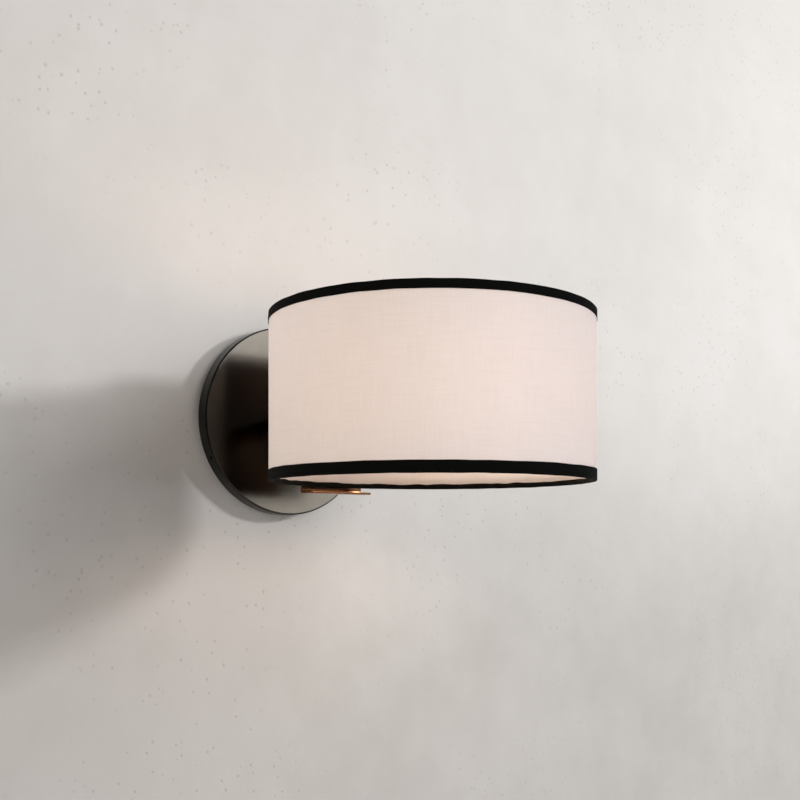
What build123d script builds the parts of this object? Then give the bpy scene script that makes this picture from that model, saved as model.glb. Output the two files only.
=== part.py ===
from build123d import *
import os
from math import asin, cos, degrees, radians, sin, sqrt

# Fabric shade wall light. Millimetres, +Z up. The origin is the centre of the wall plate's back,
# the wall is the plane y = 0, and the light stands out from it along -Y. "Depth" is the distance
# from the wall, so a depth of 66 is y = -66.

INCH = 25.4

# Shade: a drum of linen on a stiff liner, with a wire ring and folded tape at both rims
SHADE_RADIUS = 4 * INCH
SHADE_HEIGHT = 104.1
SHADE_DEPTH = 7 * INCH
LINEN_THICKNESS = 0.5
LINER_THICKNESS = 0.4
TAPE_THICKNESS = 0.3
TOP_TAPE_HEIGHT = 5.7
BOTTOM_TAPE_HEIGHT = 7.0
TAPE_TURN_IN = 3.5
WIRE_RADIUS = 0.8

# Wall plate (canopy) and its set screws
CANOPY_RADIUS = 5.5 * INCH / 2
CANOPY_DEPTH = 11.4
CANOPY_WALL = 1.2
CANOPY_BEND = 0.7
SET_SCREW_ANGLES = (90, 205, 335)
SET_SCREW_DEPTH = 7.0
SET_SCREW_RADIUS = 1.7
SET_SCREW_LENGTH = 7.0

# Mounting plate: a ring with bent ears, screwed to the wall box
PLATE_RADIUS = 59.0
PLATE_OPENING = 29.0
PLATE_THICKNESS = 1.6
EAR_OUTSIDE = 67.6
EAR_WIDTH = 15.0
EAR_HEIGHT = 9.5
BOX_SCREW_NEAR = 34.9
BOX_SCREW_FAR = 44.45
BOX_SLOT_WIDTH = 4.8
ARC_SLOT_RADIUS = 41.3
ARC_SLOT_SPAN = 44
GROUND_ANGLE = 315
GROUND_RADIUS = 50.0
GROUND_SCREW_RADIUS = 2.3
GROUND_HEAD_DEPTH = 3.75
GROUND_HEAD_FLATS = 8.0

# Arm, with hollow threaded nipples in both ends
ARM_RADIUS = INCH / 4
BORE_RADIUS = 4.85
NIPPLE_RADIUS = 4.8
NIPPLE_BORE = 3.3
NIPPLE_HOLE = 5.1
NUT_FLATS = 9 / 16 * INCH

# Strap behind the shade
STRAP_DEPTH = 65.3
STRAP_WIDTH = 2 * INCH
STRAP_THICKNESS = 1.5
STRAP_HEIGHT = 112.4
LIP_DEPTH = 79.6

# Clamp on the shade's rear wall
SPACER_RADIUS = 11.0
DOUBLER_SIZE = 44.0
DOUBLER_THICKNESS = 0.8

# Lampholder
CUP_DEPTH = 84.6
CUP_RADIUS = 19.5
CUP_WALL = 0.8
CUP_RIM_DEPTH = 121.4
CUP_SCREW_DEPTH = 104.0
CUP_SCREW_RADIUS = 1.45
HOLDER_BACK = 97.0
HOLDER_FLOOR = 108.6
HOLDER_MOUTH = 136.0
HOLDER_RADIUS = 18.3
HOLDER_BORE = 13.75
SHELL_RADIUS = 13.65
SHELL_THICKNESS = 0.3
TERMINAL_X = 10.5
TERMINAL_HEAD_BACK = 97.1
TERMINAL_HEAD_FRONT = 99.1

# Bulb, screwed home
BULB_TIP_DEPTH = 110.0
BULB_RADIUS = 30.0
BULB_LENGTH = 108.0
BULB_NECK = 12.5
SHOULDER_ANGLE = 122
GLASS_THICKNESS = 0.8
CAP_RADIUS = 13.0
TIP_DOME = 14.0
CAP_THICKNESS = 0.4

# Wiring
LEAD_RADIUS = 1.0
LEAD_SPACING = 2.3

HALF_HEIGHT = SHADE_HEIGHT / 2
LINER_OUTSIDE = SHADE_RADIUS - LINEN_THICKNESS
LINER_INSIDE = LINER_OUTSIDE - LINER_THICKNESS
SHADE_AXIS = Axis((0, -SHADE_DEPTH, 0), (0, 0, 1))
SHADE_PLANE = Plane.XY.shift_origin((0, -SHADE_DEPTH, 0))


def radial_plane(angle):
    """Plane through the Y axis: local x runs outward at this angle, local y is the depth."""
    outward = (cos(radians(angle)), 0, sin(radians(angle)))
    across = (sin(radians(angle)), 0, -cos(radians(angle)))
    return Plane(origin=(0, 0, 0), x_dir=outward, z_dir=across)


def facing_outward(angle, radius, depth):
    """Plane whose normal points away from the Y axis, for screws in the side of a turned part."""
    outward = (cos(radians(angle)), 0, sin(radians(angle)))
    origin = (radius * outward[0], -depth, radius * outward[2])
    return Plane(origin=origin, x_dir=(0, -1, 0), z_dir=outward)


TURNED = radial_plane(0)


def at_depth(depth):
    """Plane parallel to the wall, with its normal towards the room."""
    return Plane.XZ.offset(depth)


def tube(outer, inner, back, front):
    """Add a plain tube or washer on the Y axis, between two depths."""
    with BuildSketch(at_depth(back)) as section:
        Circle(outer)
        Circle(inner, mode=Mode.SUBTRACT)
    extrude(section.sketch, amount=front - back)


def hex_nut(back, front):
    """Add a hexagon nut on the Y axis with its corners turned off."""
    with BuildSketch(at_depth(back)) as section:
        RegularPolygon(NUT_FLATS / 2, 6, major_radius=False)
        Circle(NIPPLE_RADIUS, mode=Mode.SUBTRACT)
    extrude(section.sketch, amount=front - back)
    corner = NUT_FLATS / sqrt(3)
    relief = 0.6
    with BuildSketch(TURNED) as outline:
        with Locations((0, (back + front) / 2)):
            Rectangle(2 * corner, front - back)
        chamfer(outline.vertices(), relief)
        split(bisect_by=Plane.YZ)
    revolve(outline.sketch, axis=Axis.Y, mode=Mode.INTERSECT)


def rings_of(radius, part):
    """The round edges of a part that have this radius."""
    rings = part.edges().filter_by(GeomType.CIRCLE)
    return rings.filter_by(lambda edge: abs(edge.radius - radius) < 0.01)


def strip(points, bend, thickness):
    """Draw a sheet of even thickness along a bent line, inside a sketch."""
    with BuildLine() as middle:
        FilletPolyline(*points, radius=bend)
    trace(middle.line.edges(), line_width=thickness)


def lead(points, bends):
    """Add one insulated wire along straight runs joined by arcs."""
    with BuildLine() as route:
        FilletPolyline(*points, radius=bends)
    wire = route.wire()
    with BuildSketch(Plane(origin=wire @ 0, z_dir=wire % 0)) as section:
        Circle(LEAD_RADIUS)
    sweep(section.sketch, path=wire)
    print(f"lead {wire.length:.1f} mm, bends {bends} mm")


def finish(shape, name):
    shape.label = name
    export_step(shape, f"parts/{name}.step")


os.makedirs("parts", exist_ok=True)

# ---------------------------------------------------------------- mounting plate
with BuildPart() as mounting_plate:
    with BuildSketch(at_depth(0)):
        Circle(PLATE_RADIUS)
        Circle(PLATE_OPENING, mode=Mode.SUBTRACT)
        slot_run = BOX_SCREW_FAR - BOX_SCREW_NEAR
        with PolarLocations((BOX_SCREW_NEAR + BOX_SCREW_FAR) / 2, 2):
            SlotCenterToCenter(slot_run, BOX_SLOT_WIDTH, mode=Mode.SUBTRACT)
        for middle_angle in (90, 270):
            with BuildLine(mode=Mode.PRIVATE) as slot_line:
                CenterArc((0, 0), ARC_SLOT_RADIUS, middle_angle - ARC_SLOT_SPAN / 2, ARC_SLOT_SPAN)
            SlotArc(slot_line.edge(), BOX_SLOT_WIDTH, mode=Mode.SUBTRACT)
    extrude(amount=PLATE_THICKNESS)
    for angle in SET_SCREW_ANGLES:
        with BuildSketch(radial_plane(angle)):
            half = PLATE_THICKNESS / 2
            strip([(PLATE_RADIUS - 4, half), (EAR_OUTSIDE - half, half),
                   (EAR_OUTSIDE - half, EAR_HEIGHT)], 1.8, PLATE_THICKNESS)
        extrude(amount=EAR_WIDTH / 2, both=True)
    ear_tips = mounting_plate.edges().filter_by(lambda edge: abs(edge.length - PLATE_THICKNESS) < 0.01)
    fillet(ear_tips.filter_by(lambda edge: edge.center().Y < -EAR_HEIGHT + 0.1), 2.0)
    for angle in SET_SCREW_ANGLES:
        with BuildSketch(facing_outward(angle, EAR_OUTSIDE + 1, SET_SCREW_DEPTH)):
            Circle(SET_SCREW_RADIUS + 0.05)
        extrude(amount=-4, mode=Mode.SUBTRACT)
    with BuildSketch(at_depth(0)):
        with PolarLocations(GROUND_RADIUS, 1, start_angle=GROUND_ANGLE):
            Circle(GROUND_SCREW_RADIUS + 0.05)
    extrude(amount=PLATE_THICKNESS, mode=Mode.SUBTRACT)
finish(mounting_plate.part, "mounting_plate")

# ---------------------------------------------------------------- ground screw
GROUND_SCREW_BACK = 0.1
with BuildPart() as ground_screw:
    with BuildSketch(at_depth(GROUND_SCREW_BACK)):
        with PolarLocations(GROUND_RADIUS, 1, start_angle=GROUND_ANGLE):
            Circle(GROUND_SCREW_RADIUS)
    extrude(amount=GROUND_HEAD_DEPTH - GROUND_SCREW_BACK)
    with BuildSketch(at_depth(GROUND_HEAD_DEPTH)):
        with PolarLocations(GROUND_RADIUS, 1, start_angle=GROUND_ANGLE):
            RegularPolygon(GROUND_HEAD_FLATS / 2, 6, major_radius=False)
    hexagon = extrude(amount=2.4)
    top_face = hexagon.faces().sort_by(Axis.Y)[0]
    chamfer(top_face.edges(), 0.5)
    with BuildSketch(Plane(top_face)):
        Rectangle(9.5, 1.1, rotation=35)
    extrude(amount=-1.0, mode=Mode.SUBTRACT)
finish(ground_screw.part, "ground_screw")

# ---------------------------------------------------------------- wall canopy
with BuildPart() as wall_canopy:
    with BuildSketch(TURNED):
        skin = CANOPY_RADIUS - CANOPY_WALL / 2
        face = CANOPY_DEPTH - CANOPY_WALL / 2
        strip([(skin, 0), (skin, face), (NIPPLE_HOLE, face)], CANOPY_BEND, CANOPY_WALL)
    revolve(axis=Axis.Y)
    for angle in SET_SCREW_ANGLES:
        with BuildSketch(facing_outward(angle, CANOPY_RADIUS + 1, SET_SCREW_DEPTH)):
            Circle(SET_SCREW_RADIUS + 0.15)
        extrude(amount=-4, mode=Mode.SUBTRACT)
finish(wall_canopy.part, "wall_canopy")

with BuildPart() as canopy_set_screws:
    for angle in SET_SCREW_ANGLES:
        with BuildSketch(facing_outward(angle, CANOPY_RADIUS - 0.3, SET_SCREW_DEPTH)):
            Circle(SET_SCREW_RADIUS)
        body = extrude(amount=-SET_SCREW_LENGTH)
        point = body.edges().sort_by(lambda edge: (edge.center() + Vector(0, SET_SCREW_DEPTH, 0)).length)
        chamfer(point[0], 0.5)
        with BuildSketch(facing_outward(angle, CANOPY_RADIUS - 0.3, SET_SCREW_DEPTH)):
            RegularPolygon(0.9, 6, major_radius=False)
        extrude(amount=-2.2, mode=Mode.SUBTRACT)
finish(canopy_set_screws.part, "canopy_set_screws")

# ---------------------------------------------------------------- arm and its rear fastening
LUG_THICKNESS = 0.8
LUG_BACK = CANOPY_DEPTH - CANOPY_WALL - LUG_THICKNESS
WASHER_BACK = LUG_BACK - 0.8
ARM_NUT_BACK = WASHER_BACK - 3.8
REAR_NIPPLE_BACK = ARM_NUT_BACK - 0.6

with BuildPart() as arm_tube:
    tube(ARM_RADIUS, BORE_RADIUS, CANOPY_DEPTH, STRAP_DEPTH)
    chamfer(rings_of(ARM_RADIUS, arm_tube), 0.3)
finish(arm_tube.part, "arm_tube")

with BuildPart() as rear_nipple:
    tube(NIPPLE_RADIUS, NIPPLE_BORE, REAR_NIPPLE_BACK, CANOPY_DEPTH + 12)
    chamfer(rear_nipple.edges().filter_by(GeomType.CIRCLE), 0.4)
finish(rear_nipple.part, "rear_nipple")

LUG_BARREL_DEPTH = LUG_BACK - 0.9
with BuildPart() as earth_lug:
    tube(7.4, NIPPLE_HOLE, LUG_BACK, LUG_BACK + LUG_THICKNESS)
    with BuildSketch(radial_plane(GROUND_ANGLE)):
        with Locations(((6.6 + 16.0) / 2, LUG_BACK + LUG_THICKNESS / 2)):
            Rectangle(16.0 - 6.6, LUG_THICKNESS)
    extrude(amount=2.0, both=True)
    with BuildSketch(facing_outward(GROUND_ANGLE, 12.0, LUG_BARREL_DEPTH)):
        Circle(1.7)
    extrude(amount=6.0)
    with BuildSketch(facing_outward(GROUND_ANGLE, 12.0, LUG_BARREL_DEPTH)):
        Circle(LEAD_RADIUS + 0.05)
    extrude(amount=6.0, mode=Mode.SUBTRACT)
finish(earth_lug.part, "earth_lug")

with BuildPart() as lock_washer:
    tube(8.0, NIPPLE_HOLE, WASHER_BACK, WASHER_BACK + 0.8)
    with BuildSketch(at_depth(WASHER_BACK)):
        with PolarLocations(8.0, 12):
            Rectangle(1.8, 1.5)
    extrude(amount=0.8)
finish(lock_washer.part, "lock_washer")

with BuildPart() as arm_nut:
    hex_nut(ARM_NUT_BACK, WASHER_BACK)
finish(arm_nut.part, "arm_nut")

# ---------------------------------------------------------------- strap behind the shade
STRAP_FRONT = STRAP_DEPTH + STRAP_THICKNESS
with BuildPart() as shade_bracket:
    with BuildSketch(Plane.YZ):
        back = -(STRAP_DEPTH + STRAP_THICKNESS / 2)
        lip = (STRAP_HEIGHT - STRAP_THICKNESS) / 2
        strip([(-LIP_DEPTH, lip), (back, lip), (back, -lip), (-LIP_DEPTH, -lip)], 1.75, STRAP_THICKNESS)
    extrude(amount=STRAP_WIDTH / 2, both=True)
    fillet(shade_bracket.edges().filter_by(Axis.Z).group_by(Axis.Y)[0], 1.5)
    with BuildSketch(at_depth(STRAP_DEPTH)):
        Circle(NIPPLE_HOLE)
    extrude(amount=STRAP_THICKNESS, mode=Mode.SUBTRACT)
finish(shade_bracket.part, "shade_bracket")

# ---------------------------------------------------------------- clamp on the shade's rear wall
DOUBLER_OUTSIDE = LINER_INSIDE - 0.05
DOUBLER_INSIDE = DOUBLER_OUTSIDE - DOUBLER_THICKNESS
SADDLE_FRONT = SHADE_DEPTH - DOUBLER_INSIDE + 2.4
SHADE_NUT_FRONT = SADDLE_FRONT + 3.8

with BuildPart() as shade_spacer:
    tube(SPACER_RADIUS, NIPPLE_HOLE, STRAP_FRONT, STRAP_FRONT + 12)
    with Locations((0, -SHADE_DEPTH, 0)):
        Cylinder(SHADE_RADIUS, 3 * SPACER_RADIUS, mode=Mode.SUBTRACT)
finish(shade_spacer.part, "shade_spacer")

with BuildPart() as shade_back_plate:
    with BuildSketch(SHADE_PLANE.offset(-DOUBLER_SIZE / 2)):
        Circle(DOUBLER_OUTSIDE)
        Circle(DOUBLER_INSIDE, mode=Mode.SUBTRACT)
    extrude(amount=DOUBLER_SIZE)
    with BuildSketch(at_depth(SHADE_DEPTH - SHADE_RADIUS)):
        RectangleRounded(DOUBLER_SIZE, DOUBLER_SIZE, 6)
        Circle(NIPPLE_HOLE, mode=Mode.SUBTRACT)
    extrude(amount=12, mode=Mode.INTERSECT)
finish(shade_back_plate.part, "shade_back_plate")

with BuildPart() as saddle_washer:
    tube(SPACER_RADIUS, NIPPLE_HOLE, SHADE_DEPTH - SHADE_RADIUS, SADDLE_FRONT)
    with Locations((0, -SHADE_DEPTH, 0)):
        Cylinder(DOUBLER_INSIDE - 0.02, 3 * SPACER_RADIUS, mode=Mode.INTERSECT)
finish(saddle_washer.part, "saddle_washer")

with BuildPart() as shade_nut:
    hex_nut(SADDLE_FRONT, SHADE_NUT_FRONT)
finish(shade_nut.part, "shade_nut")

SOCKET_NUT_BACK = CUP_DEPTH + CUP_WALL
SOCKET_NUT_FRONT = SOCKET_NUT_BACK + 3.0
with BuildPart() as front_nipple:
    tube(NIPPLE_RADIUS, NIPPLE_BORE, STRAP_DEPTH - 12, SOCKET_NUT_FRONT + 1.2)
    chamfer(front_nipple.edges().filter_by(GeomType.CIRCLE), 0.4)
finish(front_nipple.part, "front_nipple")

# ---------------------------------------------------------------- shade drum
SHEET_HALF = HALF_HEIGHT - TAPE_THICKNESS - 0.1


def shade_sheet(outside, inside):
    """Add one layer of the drum, pierced at the back for the nipple."""
    with BuildSketch(SHADE_PLANE.offset(-SHEET_HALF)) as ring:
        Circle(outside)
        Circle(inside, mode=Mode.SUBTRACT)
    extrude(ring.sketch, amount=2 * SHEET_HALF)
    with BuildSketch(at_depth(SHADE_DEPTH - SHADE_RADIUS - 2)) as hole:
        Circle(NIPPLE_HOLE + 0.4)
    extrude(hole.sketch, amount=6, mode=Mode.SUBTRACT)


with BuildPart() as shade_fabric:
    shade_sheet(SHADE_RADIUS, LINER_OUTSIDE)
finish(shade_fabric.part, "shade_fabric")

with BuildPart() as shade_liner:
    shade_sheet(LINER_OUTSIDE, LINER_INSIDE)
finish(shade_liner.part, "shade_liner")

WIRE_CENTRE = LINER_INSIDE - WIRE_RADIUS - 0.05
WIRE_LEVEL = SHEET_HALF - WIRE_RADIUS - 0.05


def wire_ring(level):
    with BuildSketch(at_depth(SHADE_DEPTH)) as section:
        with Locations((WIRE_CENTRE, level)):
            Circle(WIRE_RADIUS)
    revolve(section.sketch, axis=SHADE_AXIS)


with BuildPart() as top_wire_ring:
    wire_ring(WIRE_LEVEL)
finish(top_wire_ring.part, "top_wire_ring")

with BuildPart() as bottom_wire_ring:
    wire_ring(-WIRE_LEVEL)
finish(bottom_wire_ring.part, "bottom_wire_ring")


def folded_tape(side, outer_height):
    """Add the tape over one rim: down the outside, over the wire and back against the liner."""
    outside = SHADE_RADIUS + TAPE_THICKNESS / 2
    over_wire = WIRE_CENTRE - WIRE_RADIUS - TAPE_THICKNESS / 2
    on_liner = LINER_INSIDE - TAPE_THICKNESS / 2 - 0.02
    rim = HALF_HEIGHT - TAPE_THICKNESS / 2
    levels = [(outside, HALF_HEIGHT - outer_height), (outside, rim), (over_wire, rim),
              (over_wire, HALF_HEIGHT - 2.1), (on_liner, HALF_HEIGHT - 2.9),
              (on_liner, HALF_HEIGHT - TAPE_TURN_IN)]
    with BuildSketch(at_depth(SHADE_DEPTH)) as section:
        strip([(radius, side * level) for radius, level in levels], 0.28, TAPE_THICKNESS)
    revolve(section.sketch, axis=SHADE_AXIS)


with BuildPart() as top_trim:
    folded_tape(1, TOP_TAPE_HEIGHT)
finish(top_trim.part, "top_trim")

with BuildPart() as bottom_trim:
    folded_tape(-1, BOTTOM_TAPE_HEIGHT)
finish(bottom_trim.part, "bottom_trim")

# ---------------------------------------------------------------- lampholder
with BuildPart() as socket_cup:
    with BuildSketch(TURNED):
        side = CUP_RADIUS - CUP_WALL / 2
        floor = CUP_DEPTH + CUP_WALL / 2
        strip([(NIPPLE_HOLE, floor), (side, floor), (side, CUP_RIM_DEPTH)], 5.0, CUP_WALL)
    revolve(axis=Axis.Y)
    for angle in (90, 270):
        with BuildSketch(facing_outward(angle, CUP_RADIUS + 1, CUP_SCREW_DEPTH)):
            Circle(CUP_SCREW_RADIUS + 0.15)
        extrude(amount=-3, mode=Mode.SUBTRACT)
finish(socket_cup.part, "socket_cup")

with BuildPart() as socket_nut:
    hex_nut(SOCKET_NUT_BACK, SOCKET_NUT_FRONT)
finish(socket_nut.part, "socket_nut")

FLANGE_RADIUS = CUP_RADIUS + 0.4
FLANGE_FRONT = CUP_RIM_DEPTH + 3
MOUTH_RADIUS = 17.0
with BuildPart() as socket_body:
    with BuildSketch(TURNED):
        with BuildLine():
            Polyline((0, HOLDER_BACK), (HOLDER_RADIUS, HOLDER_BACK), (HOLDER_RADIUS, CUP_RIM_DEPTH),
                     (FLANGE_RADIUS, CUP_RIM_DEPTH), (FLANGE_RADIUS, FLANGE_FRONT),
                     (MOUTH_RADIUS + 0.8, FLANGE_FRONT), (MOUTH_RADIUS, HOLDER_MOUTH),
                     (HOLDER_BORE, HOLDER_MOUTH), (HOLDER_BORE, HOLDER_FLOOR), (0, HOLDER_FLOOR),
                     close=True)
        make_face()
    revolve(axis=Axis.Y)
    fillet(rings_of(FLANGE_RADIUS, socket_body), 0.8)
    fillet(rings_of(MOUTH_RADIUS, socket_body), 1.2)
    # pockets for the terminals, wide at the back and joined to the floor by rivet holes
    with BuildSketch(at_depth(HOLDER_BACK)):
        with Locations((TERMINAL_X, 0), (-TERMINAL_X, 0)):
            RectangleRounded(9.6, 13.5, 1.5)
    extrude(amount=6.5, mode=Mode.SUBTRACT)
    with BuildSketch(at_depth(HOLDER_BACK)):
        with Locations((TERMINAL_X, 0), (-TERMINAL_X, 0)):
            Circle(1.95)
    extrude(amount=10.0, mode=Mode.SUBTRACT)
    for angle in (90, 270):
        with BuildSketch(facing_outward(angle, HOLDER_RADIUS + 1, CUP_SCREW_DEPTH)):
            Circle(CUP_SCREW_RADIUS + 0.05)
        extrude(amount=-6, mode=Mode.SUBTRACT)
finish(socket_body.part, "socket_body")

CUP_SCREW_LENGTH = 5.4
CUP_SCREW_HEAD = 1.5
with BuildPart() as cup_screws:
    for angle in (90, 270):
        with BuildSketch(facing_outward(angle, CUP_RADIUS - CUP_SCREW_LENGTH, CUP_SCREW_DEPTH)):
            Circle(CUP_SCREW_RADIUS)
        extrude(amount=CUP_SCREW_LENGTH)
        with BuildSketch(facing_outward(angle, CUP_RADIUS, CUP_SCREW_DEPTH)):
            Circle(2.6)
        pan_head = extrude(amount=CUP_SCREW_HEAD)
        outer_face = pan_head.faces().sort_by(lambda face: abs(face.center().Z))[-1]
        fillet(outer_face.edges(), 0.9)
        with BuildSketch(facing_outward(angle, CUP_RADIUS + CUP_SCREW_HEAD, CUP_SCREW_DEPTH)):
            Rectangle(6, 0.7, rotation=20)
        extrude(amount=-0.8, mode=Mode.SUBTRACT)
finish(cup_screws.part, "cup_screws")

with BuildPart() as screw_shell:
    with BuildSketch(TURNED):
        wall = SHELL_RADIUS - SHELL_THICKNESS / 2
        base = HOLDER_FLOOR + SHELL_THICKNESS / 2
        strip([(6.5, base), (wall, base), (wall, HOLDER_MOUTH - 1.5)], 0.8, SHELL_THICKNESS)
    revolve(axis=Axis.Y)
finish(screw_shell.part, "screw_shell")

CONTACT_THICKNESS = 0.36
with BuildPart() as centre_contact:
    foot_depth = HOLDER_FLOOR + CONTACT_THICKNESS / 2 + 0.02
    tongue_depth = BULB_TIP_DEPTH - CONTACT_THICKNESS / 2 - 0.1
    with BuildSketch(Plane.XY):
        strip([(-4.6, -foot_depth), (-0.5, -foot_depth), (2.6, -tongue_depth), (4.6, -tongue_depth)],
              1.5, CONTACT_THICKNESS)
    extrude(amount=2.5, both=True)
    with BuildSketch(at_depth(foot_depth + CONTACT_THICKNESS / 2)):
        with Locations((-3.0, 0)):
            Circle(1.3)
    rivet = extrude(amount=0.6)
    fillet(rivet.faces().sort_by(Axis.Y)[0].edges(), 0.4)
finish(centre_contact.part, "centre_contact")

with BuildPart() as terminal_screws:
    for x in (TERMINAL_X, -TERMINAL_X):
        with BuildSketch(at_depth(TERMINAL_HEAD_BACK)):
            with Locations((x, 0)):
                Circle(3.2)
        screw_head = extrude(amount=TERMINAL_HEAD_FRONT - TERMINAL_HEAD_BACK)
        back_face = screw_head.faces().sort_by(Axis.Y)[-1]
        fillet(back_face.edges(), 0.6)
        with BuildSketch(at_depth(TERMINAL_HEAD_FRONT)):
            with Locations((x, 0)):
                Circle(1.85)
        extrude(amount=7.4)
        with BuildSketch(at_depth(TERMINAL_HEAD_BACK)):
            with Locations((x, 0)):
                Rectangle(7, 0.9, rotation=60)
        extrude(amount=0.9, mode=Mode.SUBTRACT)
finish(terminal_screws.part, "terminal_screws")

# ---------------------------------------------------------------- wiring
NIPPLE_EXIT_DEPTH = 2.1
CONNECTOR_X = 13.0
CONNECTOR_DEPTH = 5.9
CONNECTOR_TOP = -24.0
CONNECTOR_LENGTH = 17.0
CONNECTOR_RADIUS = 3.4
CONNECTOR_BORE = 1.25


def supply_lead(side):
    """Add one supply wire: terminal, arm, then round the nut to its connector."""
    lane = side * LEAD_SPACING / 2
    points = [(side * 7.5, -100.3, -4.0), (side * 7.5, -100.3, 3.2), (side * 7.0, -94.6, 3.2),
              (lane, -91.5, 0), (lane, -NIPPLE_EXIT_DEPTH, 0), (side * 4.5, -NIPPLE_EXIT_DEPTH, -10),
              (side * CONNECTOR_X, -CONNECTOR_DEPTH, -17), (side * CONNECTOR_X, -CONNECTOR_DEPTH, -28)]
    lead(points, [2.2, 2.0, 2.2, 1.9, 6.0, 6.0])


with BuildPart() as live_lead:
    supply_lead(1)
finish(live_lead.part, "live_lead")

with BuildPart() as neutral_lead:
    supply_lead(-1)
finish(neutral_lead.part, "neutral_lead")


def beside_ground(radius, aside, depth):
    """Point at a radius on the ground screw's line, moved aside across it."""
    along = (cos(radians(GROUND_ANGLE)), sin(radians(GROUND_ANGLE)))
    return (radius * along[0] - aside * along[1], -depth, radius * along[1] + aside * along[0])


EARTH_LEAD_DEPTH = PLATE_THICKNESS + LEAD_RADIUS + 0.05
BESIDE_SCREW = GROUND_SCREW_RADIUS + LEAD_RADIUS + 0.15
with BuildPart() as earth_lead:
    earth_route = [beside_ground(13.0, 0, LUG_BARREL_DEPTH),
                   beside_ground(25.0, 0, LUG_BARREL_DEPTH),
                   beside_ground(38.0, BESIDE_SCREW, EARTH_LEAD_DEPTH),
                   beside_ground(52.5, BESIDE_SCREW, EARTH_LEAD_DEPTH)]
    lead(earth_route, [9.0, 9.0])
finish(earth_lead.part, "earth_lead")

with BuildPart() as wire_connectors:
    for side in (1, -1):
        x = side * CONNECTOR_X
        end = CONNECTOR_TOP - CONNECTOR_LENGTH
        bore_end = CONNECTOR_TOP - 8
        with BuildSketch(at_depth(CONNECTOR_DEPTH)):
            with BuildLine():
                Polyline((x, end), (x + 1.6, end), (x + 2.5, end + 1.0),
                         (x + CONNECTOR_RADIUS, CONNECTOR_TOP - 2), (x + CONNECTOR_RADIUS, CONNECTOR_TOP),
                         (x + CONNECTOR_BORE, CONNECTOR_TOP), (x + CONNECTOR_BORE, bore_end),
                         (x, bore_end), close=True)
            make_face()
        revolve(axis=Axis((x, -CONNECTOR_DEPTH, 0), (0, 0, 1)))
        flutes_start = CONNECTOR_TOP - 10
        with BuildSketch(Plane.XY.offset(flutes_start).shift_origin((x, -CONNECTOR_DEPTH, flutes_start))):
            with PolarLocations(CONNECTOR_RADIUS + 0.2, 8):
                Rectangle(0.8, 0.7)
        extrude(amount=-CONNECTOR_LENGTH, mode=Mode.SUBTRACT)
finish(wire_connectors.part, "wire_connectors")

# ---------------------------------------------------------------- bulb
BULB_END = BULB_TIP_DEPTH + BULB_LENGTH
BALL_DEPTH = BULB_END - BULB_RADIUS
CAP_BACK = BULB_TIP_DEPTH + 3.6
CAP_FRONT = BULB_TIP_DEPTH + 25.5

with BuildPart() as bulb_glass:
    with BuildSketch(TURNED):
        with BuildLine() as wall_line:
            mean = BULB_RADIUS - GLASS_THICKNESS / 2
            neck = BULB_NECK - GLASS_THICKNESS / 2
            ball = CenterArc((0, BALL_DEPTH), mean, 90, -SHOULDER_ANGLE)
            shoulder = Spline(ball @ 1, (neck, CAP_FRONT), tangents=[ball % 1, (0, -1)])
            Line(shoulder @ 1, (neck, CAP_FRONT - 4))
        trace(wall_line.line.edges(), line_width=GLASS_THICKNESS)
    revolve(axis=Axis.Y)
finish(bulb_glass.part, "bulb_glass")

with BuildPart() as bulb_stem:
    # flared foot, pinched glass press and the thin rod that stands on it
    with BuildSketch(TURNED):
        with BuildLine():
            foot = CAP_FRONT - 2
            press = foot + 20
            rod_end = foot + 34.5
            Polyline((0, foot), (8.0, foot), (8.0, foot + 1.0), (3.4, foot + 7.0), (2.6, press),
                     (1.2, press + 1.5), (1.0, rod_end - 0.5), (0, rod_end), close=True)
        make_face()
    revolve(axis=Axis.Y)
finish(bulb_stem.part, "bulb_stem")

FILAMENT_DEPTH = BALL_DEPTH - 6
with BuildPart() as bulb_filament:
    post_back = CAP_FRONT + 14
    for side in (1, -1):
        with BuildLine(Plane.XY) as post:
            Line((side * 3.4, -post_back), (side * 9.0, -FILAMENT_DEPTH))
        with BuildSketch(Plane(origin=post.line @ 0, z_dir=post.line % 0)):
            Circle(0.35)
        sweep(path=post.line)
    with BuildLine(Plane.XY) as coil:
        ThreePointArc((9.0, -FILAMENT_DEPTH), (0, -FILAMENT_DEPTH - 4.5), (-9.0, -FILAMENT_DEPTH))
    with BuildSketch(Plane(origin=coil.line @ 0, z_dir=coil.line % 0)):
        Circle(0.7)
    sweep(path=coil.line)
finish(bulb_filament.part, "bulb_filament")

with BuildPart() as bulb_base:
    with BuildSketch(TURNED):
        cap_wall = CAP_RADIUS - CAP_THICKNESS / 2
        strip([(10.2, CAP_BACK), (cap_wall, CAP_BACK + 1.4), (cap_wall, CAP_FRONT - 3),
               (cap_wall + 0.45, CAP_FRONT)], 0.9, CAP_THICKNESS)
    revolve(axis=Axis.Y)
finish(bulb_base.part, "bulb_base")

with BuildPart() as bulb_insulator:
    with BuildSketch(TURNED):
        with BuildLine():
            Polyline((0, BULB_TIP_DEPTH + 1.2), (5.0, BULB_TIP_DEPTH + 1.2), (10.0, CAP_BACK - 0.3),
                     (10.0, CAP_BACK + 3), (0, CAP_BACK + 3), close=True)
        make_face()
    revolve(axis=Axis.Y)
finish(bulb_insulator.part, "bulb_insulator")

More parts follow.
